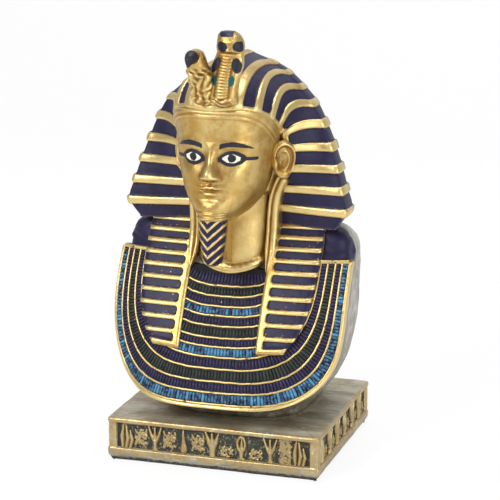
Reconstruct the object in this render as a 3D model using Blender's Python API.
"""Desk bust of an ancient king in a striped headcloth, standing on its own plinth.

Sizes are in millimetres and become metres when a mesh is made. X runs to the right of
someone who faces the bust, Y runs back from its face and Z is up. The origin is the
middle of the plinth's underside.

The plinth is sized directly. The bust is a free form: its carving is laid out on a
figure BUST_UNITS tall, measured up from the plinth's top, and scaled to BUST_HEIGHT.
"""

import bmesh
import bpy
import numpy as np

# Plinth
PLINTH_WIDTH = 75.0
PLINTH_DEPTH = 67.0
PLINTH_HEIGHT = 15.4
LOWER_LIP = 4.8
UPPER_LIP = 1.7
LIP_SLOPE = 0.4
FOOT_CHAMFER = 2.0
EDGE_ROUND = 0.9
CORNER_RADIUS = 1.2
PANEL_DEPTH = 1.5
PANEL_SLOPE = 0.2
POST_WIDTH = 3.4
POST_SETBACK = 0.35
RELIEF_HEIGHT = 1.2
FIGURE_PITCH = 5.0
FIGURE_MARGIN = 1.0
FIGURE_SINK = 0.5

# Bust
BUST_HEIGHT = 133.0
SEAT_GAP = 0.3
BUST_UNITS = 133.0

# Carving, in figure units
RIB_HEIGHT = 0.9
COLLAR_THICKNESS = 4.5
COLLAR_LINE_WIDTH = 1.1
COLLAR_LINE_HEIGHT = 0.5
LAPPET_RIBS = 11
WING_RIBS = 9
HEAD_AXIS_Y = -13.4
NECKLINE_Z = 49.2
WAIST_Z = 22.7
SHOULDER_Z = 53.3
RIM_Z = 7.0

MM = 0.001
MERGE = 0.000005


# Numbers along a curve
def through(stations, at):
    """Smooth values at `at`, through rows of a key followed by its values."""
    rows = np.array(stations, float)
    key, value = rows[:, 0], rows[:, 1:]
    slope = np.gradient(value, key, axis=0)
    at = np.clip(np.asarray(at, float), key[0], key[-1])
    i = np.clip(np.searchsorted(key, at, side="right") - 1, 0, len(key) - 2)
    step = (key[i + 1] - key[i])[..., None]
    t = (at - key[i])[..., None] / step
    start = (2 * t**3 - 3 * t**2 + 1) * value[i] + (t**3 - 2 * t**2 + t) * slope[i] * step
    end = (3 * t**2 - 2 * t**3) * value[i + 1] + (t**3 - t**2) * slope[i + 1] * step
    return start + end


def smooth_step(low, high, x):
    t = np.clip((x - low) / (high - low), 0, 1)
    return t * t * (3 - 2 * t)


def bump(dx, dz):
    return np.exp(-(dx**2) - dz**2)


def superellipse(angle, half_width, front, back, power):
    """Points round a vertical axis: angle 0 faces forward, and the back may be shallower."""
    s, c = np.sin(angle), np.cos(angle)
    depth = np.where(c > 0, front, back)
    radius = (np.abs(s / half_width) ** power + np.abs(c / depth) ** power) ** (-1 / power)
    return radius * s, -radius * c


def even_spacing(points, count):
    """The same polyline with `count` points at even distances along it."""
    length = np.concatenate([[0], np.cumsum(np.linalg.norm(np.diff(points, axis=0), axis=1))])
    at = np.linspace(0, length[-1], count)
    return np.stack([np.interp(at, length, points[:, k]) for k in range(points.shape[1])], 1)


# Meshes
def to_solid(name, points, faces):
    """A closed mesh object from points in millimetres."""
    mesh = bpy.data.meshes.new(name)
    mesh.from_pydata((np.asarray(points, float) * MM).tolist(), [], faces)
    bm = bmesh.new()
    bm.from_mesh(mesh)
    bmesh.ops.remove_doubles(bm, verts=bm.verts, dist=2e-6)
    bmesh.ops.dissolve_degenerate(bm, edges=bm.edges, dist=1e-6)
    bmesh.ops.triangulate(bm, faces=bm.faces)
    bmesh.ops.recalc_face_normals(bm, faces=bm.faces)
    bm.to_mesh(mesh)
    bm.free()
    obj = bpy.data.objects.new(name, mesh)
    bpy.context.collection.objects.link(obj)
    return obj


def loft(name, rings, caps=(True, True)):
    """A solid through rings of points. A fan closes each end that isn't already a seam."""
    rings = np.asarray(rings, float)
    rows, columns = rings.shape[:2]
    points = rings.reshape(-1, 3).tolist()
    faces = []
    for i in range(rows - 1):
        for j in range(columns):
            k = (j + 1) % columns
            faces.append((i * columns + j, i * columns + k, (i + 1) * columns + k, (i + 1) * columns + j))
    for capped, row, turn in ((caps[0], 0, -1), (caps[1], rows - 1, 1)):
        if not capped:
            continue
        points.append(rings[row].mean(axis=0).tolist())
        centre = len(points) - 1
        for j in range(columns):
            pair = (row * columns + j, row * columns + (j + 1) % columns)
            faces.append((*pair[::turn], centre))
    return to_solid(name, points, faces)


def slab(name, front, thickness):
    """A closed plate behind a grid of front points, `thickness` deep along Y."""
    back = front + np.array([0, thickness, 0])
    rows, columns = front.shape[:2]
    points = np.concatenate([front.reshape(-1, 3), back.reshape(-1, 3)])
    half = rows * columns
    faces = []
    for i in range(rows - 1):
        for j in range(columns - 1):
            a = i * columns + j
            quad = (a, a + 1, a + columns + 1, a + columns)
            faces.append(quad)
            faces.append(tuple(half + n for n in quad[::-1]))
    border = [j for j in range(columns)]
    border += [i * columns + columns - 1 for i in range(1, rows)]
    border += [(rows - 1) * columns + j for j in range(columns - 2, -1, -1)]
    border += [i * columns for i in range(rows - 2, 0, -1)]
    for a, b in zip(border, border[1:] + border[:1]):
        faces.append((b, a, a + half, b + half))
    return to_solid(name, points, faces)


def surface_normals(grid):
    """Unit normals of a grid of points."""
    along = np.gradient(grid, axis=0)
    across = np.gradient(grid, axis=1)
    normal = np.cross(across, along)
    length = np.linalg.norm(normal, axis=2, keepdims=True)
    return normal / np.maximum(length, 1e-9)


def unite(name, solids):
    """One solid out of several that overlap."""
    base = solids[0]
    for other in solids[1:]:
        join = base.modifiers.new(other.name, "BOOLEAN")
        join.operation = "UNION"
        join.solver = "EXACT"
        join.object = other
        mesh = bpy.data.meshes.new_from_object(base.evaluated_get(bpy.context.evaluated_depsgraph_get()))
        base.modifiers.clear()
        base.data = mesh
        bpy.data.objects.remove(other)
    base.name = name
    base.data.name = name
    return base


def connected_faces(bm):
    """The faces of a mesh in groups that hang together."""
    left = set(bm.faces)
    groups = []
    while left:
        group = [left.pop()]
        for face in group:
            near = {other for edge in face.edges for other in edge.link_faces} & left
            left -= near
            group.extend(near)
        groups.append(group)
    return groups


def clean(obj):
    """Drops the crumbs and merges the slivers that a union leaves, and turns every face outward."""
    bm = bmesh.new()
    bm.from_mesh(obj.data)
    crumbs = sorted(connected_faces(bm), key=len)[:-1]
    bmesh.ops.delete(bm, geom=[face for group in crumbs for face in group], context="FACES")
    bmesh.ops.remove_doubles(bm, verts=bm.verts, dist=MERGE)
    bmesh.ops.dissolve_degenerate(bm, edges=bm.edges, dist=MERGE)
    bmesh.ops.delete(bm, geom=[edge for edge in bm.edges if edge.is_wire], context="EDGES")
    bmesh.ops.holes_fill(bm, edges=[edge for edge in bm.edges if edge.is_boundary])
    bmesh.ops.triangulate(bm, faces=bm.faces)
    bmesh.ops.recalc_face_normals(bm, faces=bm.faces)
    bm.to_mesh(obj.data)
    bm.free()


def paint(obj, name, colour, roughness, metallic):
    material = bpy.data.materials.new(name)
    material.use_nodes = True
    shader = material.node_tree.nodes["Principled BSDF"]
    shader.inputs["Base Color"].default_value = (*colour, 1)
    shader.inputs["Roughness"].default_value = roughness
    shader.inputs["Metallic"].default_value = metallic
    obj.data.materials.clear()
    obj.data.materials.append(material)


def place_on_plinth(points):
    """Figure units above the plinth's top, turned into millimetres."""
    scale = BUST_HEIGHT / BUST_UNITS
    return np.asarray(points, float) * scale + np.array([0, 0, PLINTH_HEIGHT + SEAT_GAP])


# Torso
def torso(columns=26):
    """Shoulders and chest block: height, half width, front Y, back Y and squareness."""
    stations = (
        (0, 25, -20, 31, 3.2),
        (3, 26, -22, 31, 3.0),
        (7, 30.5, -31.5, 31, 2.7),
        (13, 34.5, -31.0, 30.5, 2.7),
        (28, 38.8, -24.5, 27.5, 2.9),
        (44, 39.6, -15.5, 22, 3.6),
        (52, 39.6, -10, 18.5, 4.5),
        (56.5, 39.3, -7.5, 16.5, 5),
        (60, 38.2, -6, 14.5, 4.8),
        (62.6, 35.6, -4.8, 12.5, 4),
        (64.4, 31, -1.5, 11, 3.2),
    )
    angle = np.linspace(0, 2 * np.pi, columns, endpoint=False)
    rings = []
    for z, half_width, front, back, power in stations:
        middle = (front + back) / 2
        x, y = superellipse(angle, half_width, middle - front, middle - front, power)
        rings.append(np.stack([x, y + middle, np.full_like(x, z)], 1))
    return loft("torso", place_on_plinth(rings))


# Broad collar
def chest_y(x, z):
    """How far forward the chest stands at a point of the front view."""
    up = z - RIM_Z
    middle = -35 + 0.44 * up + 0.004 * np.maximum(up - 20, 0) ** 2
    curl = 5.5 + 13.5 * np.clip((48 - z) / 38, 0, 1) ** 2
    return middle + curl * (np.abs(x) / 41) ** 3


def hanging_loop(half_width, drop, power, count):
    """Half of a U from the middle of the chest up to the shoulder."""
    angle = np.linspace(0, np.pi / 2, 200)
    x = half_width * np.sin(angle) ** (2 / power)
    z = SHOULDER_Z - drop * np.cos(angle) ** (2 / power)
    return even_spacing(np.stack([x, z], 1), count)


def collar_front(lines, line_width, columns):
    """Front points of the collar: rows from the rim to the neckline, raised on each gold line."""
    rim = hanging_loop(41.0, SHOULDER_Z - RIM_Z, 4.3, columns)
    waist = hanging_loop(31.0, SHOULDER_Z - WAIST_Z, 3.0, columns)
    neck = hanging_loop(18.0, SHOULDER_Z - NECKLINE_Z, 2.6, columns)
    heights = {RIM_Z: 0.6, NECKLINE_Z: 0.3}
    for line in lines:
        heights[line - line_width] = 0.0
        heights[line] = COLLAR_LINE_HEIGHT
        heights[line + line_width] = 0.0
    rows = []
    for z in sorted(heights):
        if z <= WAIST_Z:
            share = (z - RIM_Z) / (WAIST_Z - RIM_Z)
            line = rim + (waist - rim) * share
        else:
            share = (z - WAIST_Z) / (NECKLINE_Z - WAIST_Z)
            line = waist + (neck - waist) * share
        x = np.concatenate([-line[:0:-1, 0], line[:, 0]])
        z_line = np.concatenate([line[:0:-1, 1], line[:, 1]])
        y = chest_y(x, z_line) - heights[z]
        rows.append(np.stack([x, y, z_line], 1))
    return np.array(rows)


COLLAR_LINES = (8.3, 11.9, 15.2, 19.1, 22.7, 25.9, 28.7, 32.3, 35.4, 38.3, 41.4, 44.5)


def collar():
    front = collar_front(COLLAR_LINES, COLLAR_LINE_WIDTH / 2, 8)
    return slab("collar", place_on_plinth(front), COLLAR_THICKNESS * BUST_HEIGHT / BUST_UNITS)


# Lappets
def lappet_rib_z(k):
    return 64.1 - 3.3 * k - 0.055 * k**2


def lappet(side):
    """One hanging end of the headcloth: cross ribs inside a raised inner border."""
    heights = [(66.8, 0.0)]
    for k in range(LAPPET_RIBS):
        z = lappet_rib_z(k)
        half = 0.65 if k < LAPPET_RIBS - 1 else 0.9
        heights += [(z + half + 0.15, 0.0), (z + half - 0.15, 1.0), (z - half + 0.15, 1.0)]
        if k < LAPPET_RIBS - 1:
            heights.append((z - half - 0.15, 0.0))
    across = (0.0, 0.13, 0.17, 1.0)
    rows = []
    for z, raised in heights:
        outer = through(((25, 23.2), (31, 26.8), (37, 29.2), (45, 30.4), (67, 30.6)), z)[0]
        inner = 13.5 - 0.8 * smooth_step(48, 58, z)
        row = []
        for share in across:
            x = inner + (outer - inner) * share
            lift = max(raised, 1.0 if share < 0.14 else 0.0)
            y = chest_y(x, z) - 0.9 - 1.1 * share - 0.8 * lift
            row.append((side * x, y, z + 0.9 * share if z < 30 else z))
        rows.append(row)
    grid = place_on_plinth(np.array(rows))
    return slab("lappet", grid, 6.0 * BUST_HEIGHT / BUST_UNITS)


# Headcloth
def band_top(angle):
    """Height of the brow band's upper edge round the head, by angle from the front."""
    heights = ((0, 106.8), (40, 106.6), (61, 104.3), (78, 101.4), (96, 98.3))
    return through(heights, np.degrees(angle))[..., 0]


def cloth_start(s):
    """Where stripe s leaves the brow band or, lower down, the side of the head."""
    fan = ((0, 0), (1, 27), (2, 50), (3, 70), (4, 87), (4.6, 97))
    angle = np.radians(through(fan, np.minimum(s, 4.6))[..., 0])
    band = np.stack([17.3 * np.sin(angle), HEAD_AXIS_Y - 19.8 * np.cos(angle), band_top(angle)], -1)
    side = through(
        ((4.6, 17.2, -11, 97.8), (6, 17.6, -9.8, 91), (7, 17.4, -8.8, 84.6), (8, 16.2, -7.4, 77.5),
         (9, 14.2, -5.6, 70.4), (9.8, 13.2, -4.4, 65)), np.maximum(s, 4.6))
    return np.where((s < 4.6)[..., None], band, side)


def cloth_ridge(s):
    """The outline from crown to wing: half width, front Y, back Y and height."""
    return through(
        ((0, 0, 4, 8, 121.2), (1, 9.2, 3.5, 7.5, 118), (2, 15, 2.4, 7, 115), (3, 20.3, 0.5, 6, 110.6),
         (4, 25, -2.4, 5, 105.8), (5, 28.8, -2.6, 4, 99.2), (6, 31.9, -3.2, 4.2, 91.4),
         (7, 34.4, -4.6, 3.6, 84.3), (8, 36.4, -6.2, 3.2, 77.2), (9, 38, -7.3, 2.8, 70),
         (9.8, 34.2, -6.6, 1.5, 64.2)), s)


def bezier(p0, p1, p2, p3, t):
    t = t[:, None, None]
    return (1 - t)**3 * p0 + 3 * t * (1 - t)**2 * p1 + 3 * t**2 * (1 - t) * p2 + t**3 * p3


def cloth_half(s, front_steps, back_steps):
    """Right half of the headcloth without ribs, as points [across, along s]."""
    start = cloth_start(s)
    width, front, back, z = cloth_ridge(s).T
    ridge = np.stack([width, front, z], -1)
    rear = np.stack([width, back, z], -1)
    leaving = ((0, 0, 1.5, 10.5), (2, 1.5, 2.5, 9), (3.5, 2, 2, 7), (5, 3.5, 0, 3), (6.5, 4.5, 0, 0.8),
               (9.8, 6, -0.4, 0))
    arriving = ((0, 0, -14, 0.5), (2, -5, -10, 2.5), (3.5, -6, -6, 1.5), (5, -6, -2, 0.4), (9.8, -7, 0, 0))
    share = np.linspace(0, 1, front_steps)
    face = bezier(start, start + through(leaving, s), ridge + through(arriving, s), ridge, share)
    bulge = np.array([0.5, 0, 0]) * smooth_step(0, 1.5, s)[:, None]
    edge = ((ridge + rear) / 2 + bulge)[None]
    spine_y = through(((0, 8), (3, 22), (6, 27.5), (9.8, 25)), s)[:, 0]
    spine_z = through(((0, 121.2), (3, 111.5), (6, 92), (9.8, 64.2)), s)[:, 0]
    spine = np.stack([0 * s, spine_y, spine_z], -1)
    swell = np.stack([width * 0.25, 9 * smooth_step(0, 3, s), 0 * s], -1)
    to_back = np.linspace(0, 1, back_steps)
    backed = bezier(rear, rear + swell * [-0.6, 1, 1], spine + swell * [2.4, 0, 0], spine, to_back)
    return np.concatenate([face, edge, backed])


def rib_lift(s, t):
    """How far a point of the cloth stands out: 1 on a rib or border, 0 between ribs."""
    off = np.abs(s - np.round(s)) - 0.08 * np.exp(-((s - 1) / 0.4) ** 2)
    rib = 1 - smooth_step(0.16, 0.24, off)
    crown_gap = 1 - smooth_step(0.42, 0.5, t) * smooth_step(0.1, 0.2, s)
    crown = np.where(s < 1, crown_gap, 0)
    border = np.where((s > 7.5) | (s < 4.6), 1 - smooth_step(0.05, 0.09, t), 0)
    fade = 1 - 0.6 * smooth_step(0.75, 1.0, t) * (1 - smooth_step(3.5, 5.5, s))
    return np.maximum(np.maximum(rib, crown), border) * fade


def headcloth(front_steps=6, back_steps=3):
    """Rings round the cloth, one for each place across the stripes, from the wings' foot to the crown."""
    places = {0.0, 9.8}
    for k in range(WING_RIBS + 1):
        wide = 0.08 if k == 1 else 0
        steps = (-0.25 - wide, -0.15 - wide, 0.15 + wide, 0.25 + wide)
        places.update(k + step for step in steps if 0 < k + step < 9.8)
    s = np.array(sorted(places, reverse=True))
    half = cloth_half(s, front_steps, back_steps)
    normal = surface_normals(half)
    t = np.concatenate([np.linspace(0, 1, front_steps), [1], np.full(back_steps, 2.0)])
    lift = rib_lift(s[None, :], t[:, None]) * np.where(t < 1.5, 1, 0)[:, None]
    sign = np.sign(normal[1:front_steps - 1, :, 1].mean())
    half = half - sign * normal * (lift * RIB_HEIGHT)[..., None]
    half[:, -1, 0] = 0
    half[-1, :, 0] = 0
    left = half[::-1][1:] * np.array([-1, 1, 1])
    rings = np.concatenate([half, left]).transpose(1, 0, 2)
    return loft("headcloth", place_on_plinth(rings), caps=(True, False))


def cloth_border(side):
    """The smooth gold fold down the opening of the cloth, from under the ear into the lappet."""
    path = ((50, 13.5, -14.9), (54.5, 12.9, -12.6), (57.5, 12.7, -11.3), (61, 12.7, -10.3),
            (65, 12.8, -9.7), (69, 13, -9.5), (73, 13.4, -9.5), (76.5, 14.3, -9.9),
            (79.5, 15.6, -10.6), (82, 17.4, -11.8))
    profile = np.array(((-0.9, 4.5), (-0.85, -0.2), (-0.25, -0.7), (0.4, 0.0), (1.0, -0.5), (2.1, -0.4),
                        (3.2, 4.5)))
    level, x, y = np.array(path).T
    lean = np.gradient(x, level)
    length = np.hypot(1, lean)
    across = np.stack([1 / length, 0 * x, -lean / length], -1)
    thin = 0.35 + 0.65 * smooth_step(50, 57, level)
    middle = np.stack([x, y, level], -1)
    rings = middle[:, None] + across[:, None] * (profile[:, 0] * thin[:, None])[..., None]
    rings[..., 1] += profile[:, 1]
    rings[..., 0] *= side
    return loft("border", place_on_plinth(rings))


# Head
def face_relief(x, z):
    """Outward carving of a calm, even face in the front view."""
    ax = np.abs(x)
    ridge = ((82.8, 0), (84.2, 1.0), (85.4, 3.9), (86.4, 4.3), (90, 2.2), (94, 0.7), (97, 0))
    bridge = through(ridge, z)[..., 0]
    nose_half = through(((83, 2.6), (86, 2.1), (90, 1.5), (97, 1.5)), z)[..., 0]
    total = bridge * np.exp(-np.abs(x / nose_half) ** 2.5)
    total += 1.2 * bump((ax - 2.4) / 1.0, (z - 85.3) / 1.1)
    total -= 1.5 * bump((ax - 6.3) / 3.8, (z - 91.4) / 2.6)
    total += 1.0 * bump((ax - 6.5) / 3.0, (z - 91.4) / 1.6)
    total += 0.5 * bump((ax - 7.0) / 5.0, (z - 95.6) / 1.2)
    total += 0.9 * bump(x / 3.4, (z - 81.7) / 0.7)
    total += 0.9 * bump(x / 2.8, (z - 79.9) / 0.8)
    total -= 0.5 * bump(x / 3.6, (z - 80.8) / 0.35)
    total -= 0.4 * bump(x / 3.2, (z - 78.1) / 0.8)
    total += 0.8 * bump(x / 4.0, (z - 75.2) / 1.9)
    total += 0.5 * bump((ax - 8.2) / 3.6, (z - 86.5) / 3.6)
    return total


def head_points(angle, z):
    """Points of the head at an angle from the front and a height."""
    half_width, front = through(
        ((69, 4.5, 15.0), (71, 7.4, 19.6), (73.2, 9.4, 21.0), (76, 11.6, 21.0), (80, 13.6, 20.4),
         (85, 15.0, 19.9), (90, 15.9, 19.5), (95, 16.4, 19.6), (101, 16.9, 19.8), (107, 17.3, 19.9),
         (113, 16.6, 17.8)), z
    ).transpose(-1, *range(np.ndim(z)))
    x, y = superellipse(angle, half_width, front, 9.0, 2.3)
    radius = np.hypot(x, y)
    relief = face_relief(x, z) * smooth_step(0.1, 0.5, np.cos(angle))
    seam = through(((0, 106.0), (25, 105.8), (50, 103.0), (70, 98.4), (85, 95), (100, 93)),
                   np.degrees(np.abs(angle)))[..., 0]
    band = smooth_step(seam - 1.4, seam - 1.0, z)
    grow = 1 + (relief + 0.6 * band) / radius
    return np.stack([x * grow, y * grow + HEAD_AXIS_Y, z], -1)


def head(columns=28):
    levels = (69, 71, 73, 75, 77.2, 78.4, 79.6, 80.3, 80.9, 81.6, 83, 84.6, 85.5, 86.5, 88.3, 89.8,
              90.8, 91.6, 92.6, 94.6, 97.2, 100, 102.6, 104.6, 105.2, 110)
    front_share = np.linspace(-1, 1, columns - 9)
    angle = np.radians(np.concatenate([100 * np.sign(front_share) * np.abs(front_share) ** 1.35,
                                       np.linspace(100, 260, 11)[1:-1]]))
    angle = np.where(angle > np.pi, angle - 2 * np.pi, angle)
    grid_angle, level = np.meshgrid(angle, np.array(levels, float))
    top = band_top(np.abs(grid_angle))
    over = np.maximum(level - top, 0)
    points = head_points(grid_angle, np.minimum(level, top))
    draw_in = 1 - 0.12 * over
    points[..., 0] *= draw_in
    points[..., 1] = HEAD_AXIS_Y + (points[..., 1] - HEAD_AXIS_Y) * draw_in
    points[..., 2] += 0.6 * over
    return loft("head", place_on_plinth(points))


def neck(columns=16):
    """The throat, with a plain ring that rises to the back where it meets the collar."""
    angle = np.linspace(0, 2 * np.pi, columns, endpoint=False)
    seam = 48.5 + 5.6 * (1 - np.cos(angle)) ** 0.9
    levels = ((44 + 0 * seam, 0.0), (seam - 0.6, 0.0), (seam + 0.1, 0.8), (seam + 2.3, 0.8),
              (seam + 3.4, 0.0), (70 + 0 * seam, 0.0), (76 + 0 * seam, 0.0))
    rings = []
    for z, swell in levels:
        half_width, front, back = through(
            ((44, 12.2, 10.2, 8), (49, 12.4, 10.6, 8), (55, 12.6, 11.6, 9), (62, 12.4, 12, 9),
             (70, 12.5, 12.2, 9), (76, 12.9, 13.5, 9)), z).T
        x, y = superellipse(angle, half_width + swell, front + swell, back + swell, 2.2)
        rings.append(np.stack([x, y - 4.0, z], 1))
    return loft("neck", place_on_plinth(rings))


EAR_PLACE = {1: (18.6, -13.0, 88.3), -1: (-16.6, -10.2, 88.3)}


def ear(side, spokes=12):
    """An upright shell that faces forward and outward, with a raised rim round a hollow."""
    profile = ((0.0, 0.2), (0.45, 0.0), (0.72, 0.2), (0.86, 1.3), (1.0, 0.6), (1.0, -1.6), (0.6, -2.6))
    out = np.radians(38)
    normal = np.array([side * np.sin(out), -np.cos(out), 0])
    across = np.array([side * np.cos(out), np.sin(out), 0])
    centre = np.array(EAR_PLACE[side])
    angle = np.linspace(0, 2 * np.pi, spokes, endpoint=False)
    rings = []
    for share, height in profile[1:]:
        wide = 4.1 * share * np.cos(angle) * (1 + 0.2 * np.sin(angle))
        tall = 6.4 * share * np.sin(angle)
        upright = tall[:, None] * np.array([0, 0, 1])
        rings.append(centre + wide[:, None] * across + upright + height * normal)
    return loft("ear", place_on_plinth(rings))


# Beard
def beard(columns=12):
    """A plaited beard: each ring dips to a point in front, so that its ridges read as chevrons."""
    angle = np.linspace(0, 2 * np.pi, columns, endpoint=False)
    middle = -30.5
    steps = [(55.3, -0.4), (56.2, 0.0)]
    steps += [(57.4 + 1.5 * k, 0.4 * (k % 2)) for k in range(9)]
    steps += [(71.0, 0.0), (71.4, 0.6), (74.5, 0.5)]
    rings = []
    for z, lift in steps:
        half_width, front = through(
            ((55, 2.3, -34.2), (57, 2.9, -34.8), (62, 3.7, -35), (70, 4.5, -35), (75, 4.7, -34.6)), z)
        x, y = superellipse(angle, half_width + lift * 0.6, middle - front + lift, 3.5, 2.0)
        dip = 1.8 * np.clip(np.cos(angle), 0, 1) * smooth_step(55.5, 58, z) * (z < 70.5)
        rings.append(np.stack([x, y + middle, z - dip + 0 * x], 1))
    return loft("beard", place_on_plinth(rings))


def beard_web():
    """The thin wall that ties the beard to the throat."""
    profile = ((-31, 58), (-14, 52), (-14, 72), (-31, 73))
    rings = [[(x, y, z) for y, z in profile] for x in (-1.5, 1.5)]
    return loft("beard_web", place_on_plinth(rings))


# Brow animals
def standing_form(name, stations, columns, power=2.0):
    """A loft of level ovals: height, centre X, centre Y, half width and half depth."""
    angle = np.linspace(0, 2 * np.pi, columns, endpoint=False)
    rings = []
    for z, cx, cy, half_width, half_depth in stations:
        x, y = superellipse(angle, half_width, half_depth, half_depth, power)
        rings.append(np.stack([x + cx, y + cy, np.full_like(x, z)], 1))
    return loft(name, place_on_plinth(rings))


def cobra():
    """Body with a ribbed belly, spread hood and broad head."""
    outline = ((111, 4.4, -32.8, 4.8, 3.6), (113.5, 4.6, -32.9, 4.7, 3.4), (116, 4.8, -32.8, 4.8, 3.1),
               (119, 5, -32.4, 5, 2.8), (122, 5.4, -31.6, 5.4, 2.6), (124.3, 5.8, -31, 4.9, 2.7))
    stations = [(108.4, 4.2, -31.5, 2.6, 1.8), (109.4, 4.3, -32.3, 4.3, 3)]
    for k in range(8):
        z = 111 + 1.9 * k
        x, y, half_width, half_depth = through(outline, z)
        stations.append((z, x, y, half_width, half_depth - 0.3 * (k % 2)))
    stations += [(126, 6.1, -30.8, 4.5, 3.2), (128, 6.2, -30.8, 4.6, 3.9), (130.4, 5.9, -30.4, 4.1, 3.9),
                 (132, 5.3, -30, 3.3, 3.1), (BUST_UNITS - SEAT_GAP, 4.9, -29.8, 2.3, 2.2)]
    return standing_form("cobra", stations, 12, 2.2)


def vulture():
    """A bird's neck and domed head that lean forward."""
    stations = ((108.4, -2.2, -31.5, 1.8, 1.6), (109.4, -2.3, -32.4, 3.1, 2.8),
                (111, -2.4, -32.9, 3.5, 3.4), (113.5, -2.4, -33.5, 3.7, 3.4),
                (116, -2.5, -34.4, 3.9, 3.5), (120, -2.9, -35.9, 3.8, 3.7),
                (123, -3.3, -36.8, 3.4, 3.9), (125.5, -3.6, -37.2, 3, 3.6),
                (127, -3.6, -37, 1.9, 2.2), (127.5, -3.6, -37, 0.7, 0.8))
    return standing_form("vulture", stations, 12, 2.1)


def vulture_beak():
    """A short hooked beak that points forward and down."""
    path = ((-38.5, 125.4, 2.4, 2.2), (-41, 125.4, 2.2, 2.3), (-43, 124.7, 1.6, 1.9),
            (-44.2, 123.5, 0.8, 0.9), (-44.5, 122.7, 0.25, 0.25))
    tilt = (0, 15, 45, 65, 80)
    angle = np.linspace(0, 2 * np.pi, 10, endpoint=False)
    rings = []
    for (y, z, half_width, half_height), turn in zip(path, np.radians(tilt)):
        up = half_height * np.cos(angle)
        x = -3.6 + half_width * np.sin(angle)
        rings.append(np.stack([x, y - up * np.sin(turn), z + up * np.cos(turn)], 1))
    return loft("beak", place_on_plinth(rings))


def build_bust():
    pieces = [torso(), collar(), lappet(-1), lappet(1), neck(), headcloth(), cloth_border(-1),
              cloth_border(1), head(), ear(-1), ear(1), beard(), beard_web(), cobra(), vulture(),
              vulture_beak()]
    bust = unite("bust", pieces)
    clean(bust)
    paint(bust, "gold_and_blue_paint", (0.75, 0.52, 0.18), 0.35, 0.85)
    return bust


# Plinth
def rounded_rectangle(width, depth, radius, z, per_corner=4):
    points = []
    for side_x, side_y, turn in ((1, 1, 0), (-1, 1, 90), (-1, -1, 180), (1, -1, 270)):
        centre_x, centre_y = side_x * (width / 2 - radius), side_y * (depth / 2 - radius)
        for a in np.radians(np.linspace(turn, turn + 90, per_corner)):
            points.append((centre_x + radius * np.cos(a), centre_y + radius * np.sin(a), z))
    return points


def plinth_body():
    panel_low = LOWER_LIP
    panel_high = PLINTH_HEIGHT - UPPER_LIP
    profile = (
        (FOOT_CHAMFER, 0),
        (0, FOOT_CHAMFER),
        (0, panel_low - LIP_SLOPE),
        (LIP_SLOPE, panel_low),
        (PANEL_DEPTH, panel_low + PANEL_SLOPE),
        (PANEL_DEPTH, panel_high - PANEL_SLOPE),
        (LIP_SLOPE, panel_high),
        (0, panel_high + LIP_SLOPE),
        (0, PLINTH_HEIGHT - EDGE_ROUND),
        (EDGE_ROUND * 0.3, PLINTH_HEIGHT - EDGE_ROUND * 0.3),
        (EDGE_ROUND, PLINTH_HEIGHT),
    )
    rings = []
    for inset, z in profile:
        radius = CORNER_RADIUS * (1 - 0.5 * inset / max(PANEL_DEPTH, FOOT_CHAMFER))
        rings.append(rounded_rectangle(PLINTH_WIDTH - 2 * inset, PLINTH_DEPTH - 2 * inset, radius, z))
    return loft("plinth", rings)


def corner_post(side_x, side_y):
    """The flat upright where two panels meet."""
    outer_x, outer_y = PLINTH_WIDTH / 2 - POST_SETBACK, PLINTH_DEPTH / 2 - POST_SETBACK
    low, high = LOWER_LIP - LIP_SLOPE, PLINTH_HEIGHT - UPPER_LIP + LIP_SLOPE
    cut = CORNER_RADIUS * 0.6
    inner_x, inner_y = outer_x - POST_WIDTH, outer_y - POST_WIDTH
    outline = ((inner_x, inner_y), (outer_x, inner_y), (outer_x, outer_y - cut), (outer_x - cut, outer_y),
               (inner_x, outer_y))
    rings = [[(side_x * x, side_y * y, z) for x, y in outline] for z in (low, high)]
    return loft("post", rings)


def lotus_outline():
    """A flower of three petals on a short stalk, on a panel one unit wide and one high."""
    return [(-0.24, 0.04), (-0.16, 0.35), (-0.46, 0.94), (-0.12, 0.56), (0.0, 0.9), (0.12, 0.56),
            (0.46, 0.94), (0.16, 0.35), (0.24, 0.04)]


def clump_outline():
    return [(-0.42, 0.3), (-0.34, 0.7), (0.3, 0.74), (0.42, 0.36), (0.0, 0.2)]


def low_clump_outline():
    return [(-0.42, 0.04), (-0.3, 0.4), (0.3, 0.42), (0.42, 0.04)]


def block_outline():
    return [(-0.42, 0.03), (-0.42, 0.95), (0.42, 0.95), (0.42, 0.03)]


def bud_outline():
    return [(-0.16, 0.04), (-0.3, 0.55), (0.0, 0.92), (0.3, 0.55), (0.16, 0.04)]


def leaf_outline():
    return [(-0.24, 0.06), (-0.2, 0.34), (0.0, 0.92), (0.2, 0.34), (0.24, 0.06)]


def reed_outline():
    return [(-0.36, 0.04), (-0.3, 0.94), (-0.12, 0.5), (0.04, 0.9), (0.16, 0.45), (0.38, 0.66), (0.3, 0.04)]


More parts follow.
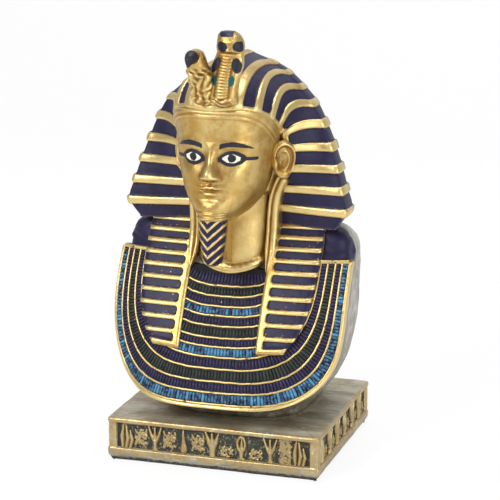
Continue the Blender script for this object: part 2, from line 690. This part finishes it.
WIDE_FRIEZE = (reed_outline, clump_outline, lotus_outline, clump_outline, leaf_outline, clump_outline,
               lotus_outline, low_clump_outline, bud_outline, low_clump_outline, lotus_outline,
               block_outline, reed_outline)
SIDE_FRIEZE = (reed_outline, low_clump_outline, lotus_outline, low_clump_outline, lotus_outline,
               low_clump_outline, bud_outline, low_clump_outline, lotus_outline, low_clump_outline,
               lotus_outline, low_clump_outline)


def frieze_figures(length, depth, turn, order):
    """Raised plants along one side, spaced evenly between its posts."""
    low = LOWER_LIP + PANEL_SLOPE
    height = PLINTH_HEIGHT - UPPER_LIP - low
    room = length - 2 * (POST_WIDTH + FIGURE_MARGIN)
    count = max(1, round(room / FIGURE_PITCH))
    face = depth / 2 - PANEL_DEPTH
    spin = np.array([[np.cos(turn), -np.sin(turn), 0], [np.sin(turn), np.cos(turn), 0], [0, 0, 1]])
    figures = []
    for k in range(count):
        middle = room * ((k + 0.5) / count - 0.5)
        outline = np.array(order[k % len(order)]())
        u = middle + outline[:, 0] * 0.9 * room / count
        v = low + outline[:, 1] * height
        rings = []
        for out in (-FIGURE_SINK, RELIEF_HEIGHT):
            ring = np.stack([u, np.full_like(u, -face - out), v], 1)
            rings.append(ring @ spin.T)
        figures.append(rings)
    return figures


def frieze():
    """All the relief figures as one object of separate solids."""
    rows = []
    for turn in (0, 180):
        rows += frieze_figures(PLINTH_WIDTH, PLINTH_DEPTH, np.radians(turn), WIDE_FRIEZE)
    for turn in (90, 270):
        rows += frieze_figures(PLINTH_DEPTH, PLINTH_WIDTH, np.radians(turn), SIDE_FRIEZE)
    points, faces = [], []
    for rings in rows:
        start, count = len(points), len(rings[0])
        for ring in rings:
            points += ring.tolist()
        for i in range(len(rings) - 1):
            for j in range(count):
                k = (j + 1) % count
                a, b = start + i * count, start + (i + 1) * count
                faces.append((a + j, a + k, b + k, b + j))
        faces.append(tuple(start + j for j in range(count)))
        faces.append(tuple(start + (len(rings) - 1) * count + j for j in reversed(range(count))))
    return to_solid("frieze", points, faces)


def build_plinth():
    posts = [corner_post(x, y) for x in (-1, 1) for y in (-1, 1)]
    plinth = unite("plinth", [plinth_body(), *posts, frieze()])
    clean(plinth)
    paint(plinth, "aged_bronze_paint", (0.22, 0.2, 0.16), 0.5, 0.6)
    return plinth


def main():
    for obj in list(bpy.data.objects):
        bpy.data.objects.remove(obj)
    build_plinth()
    build_bust()


main()
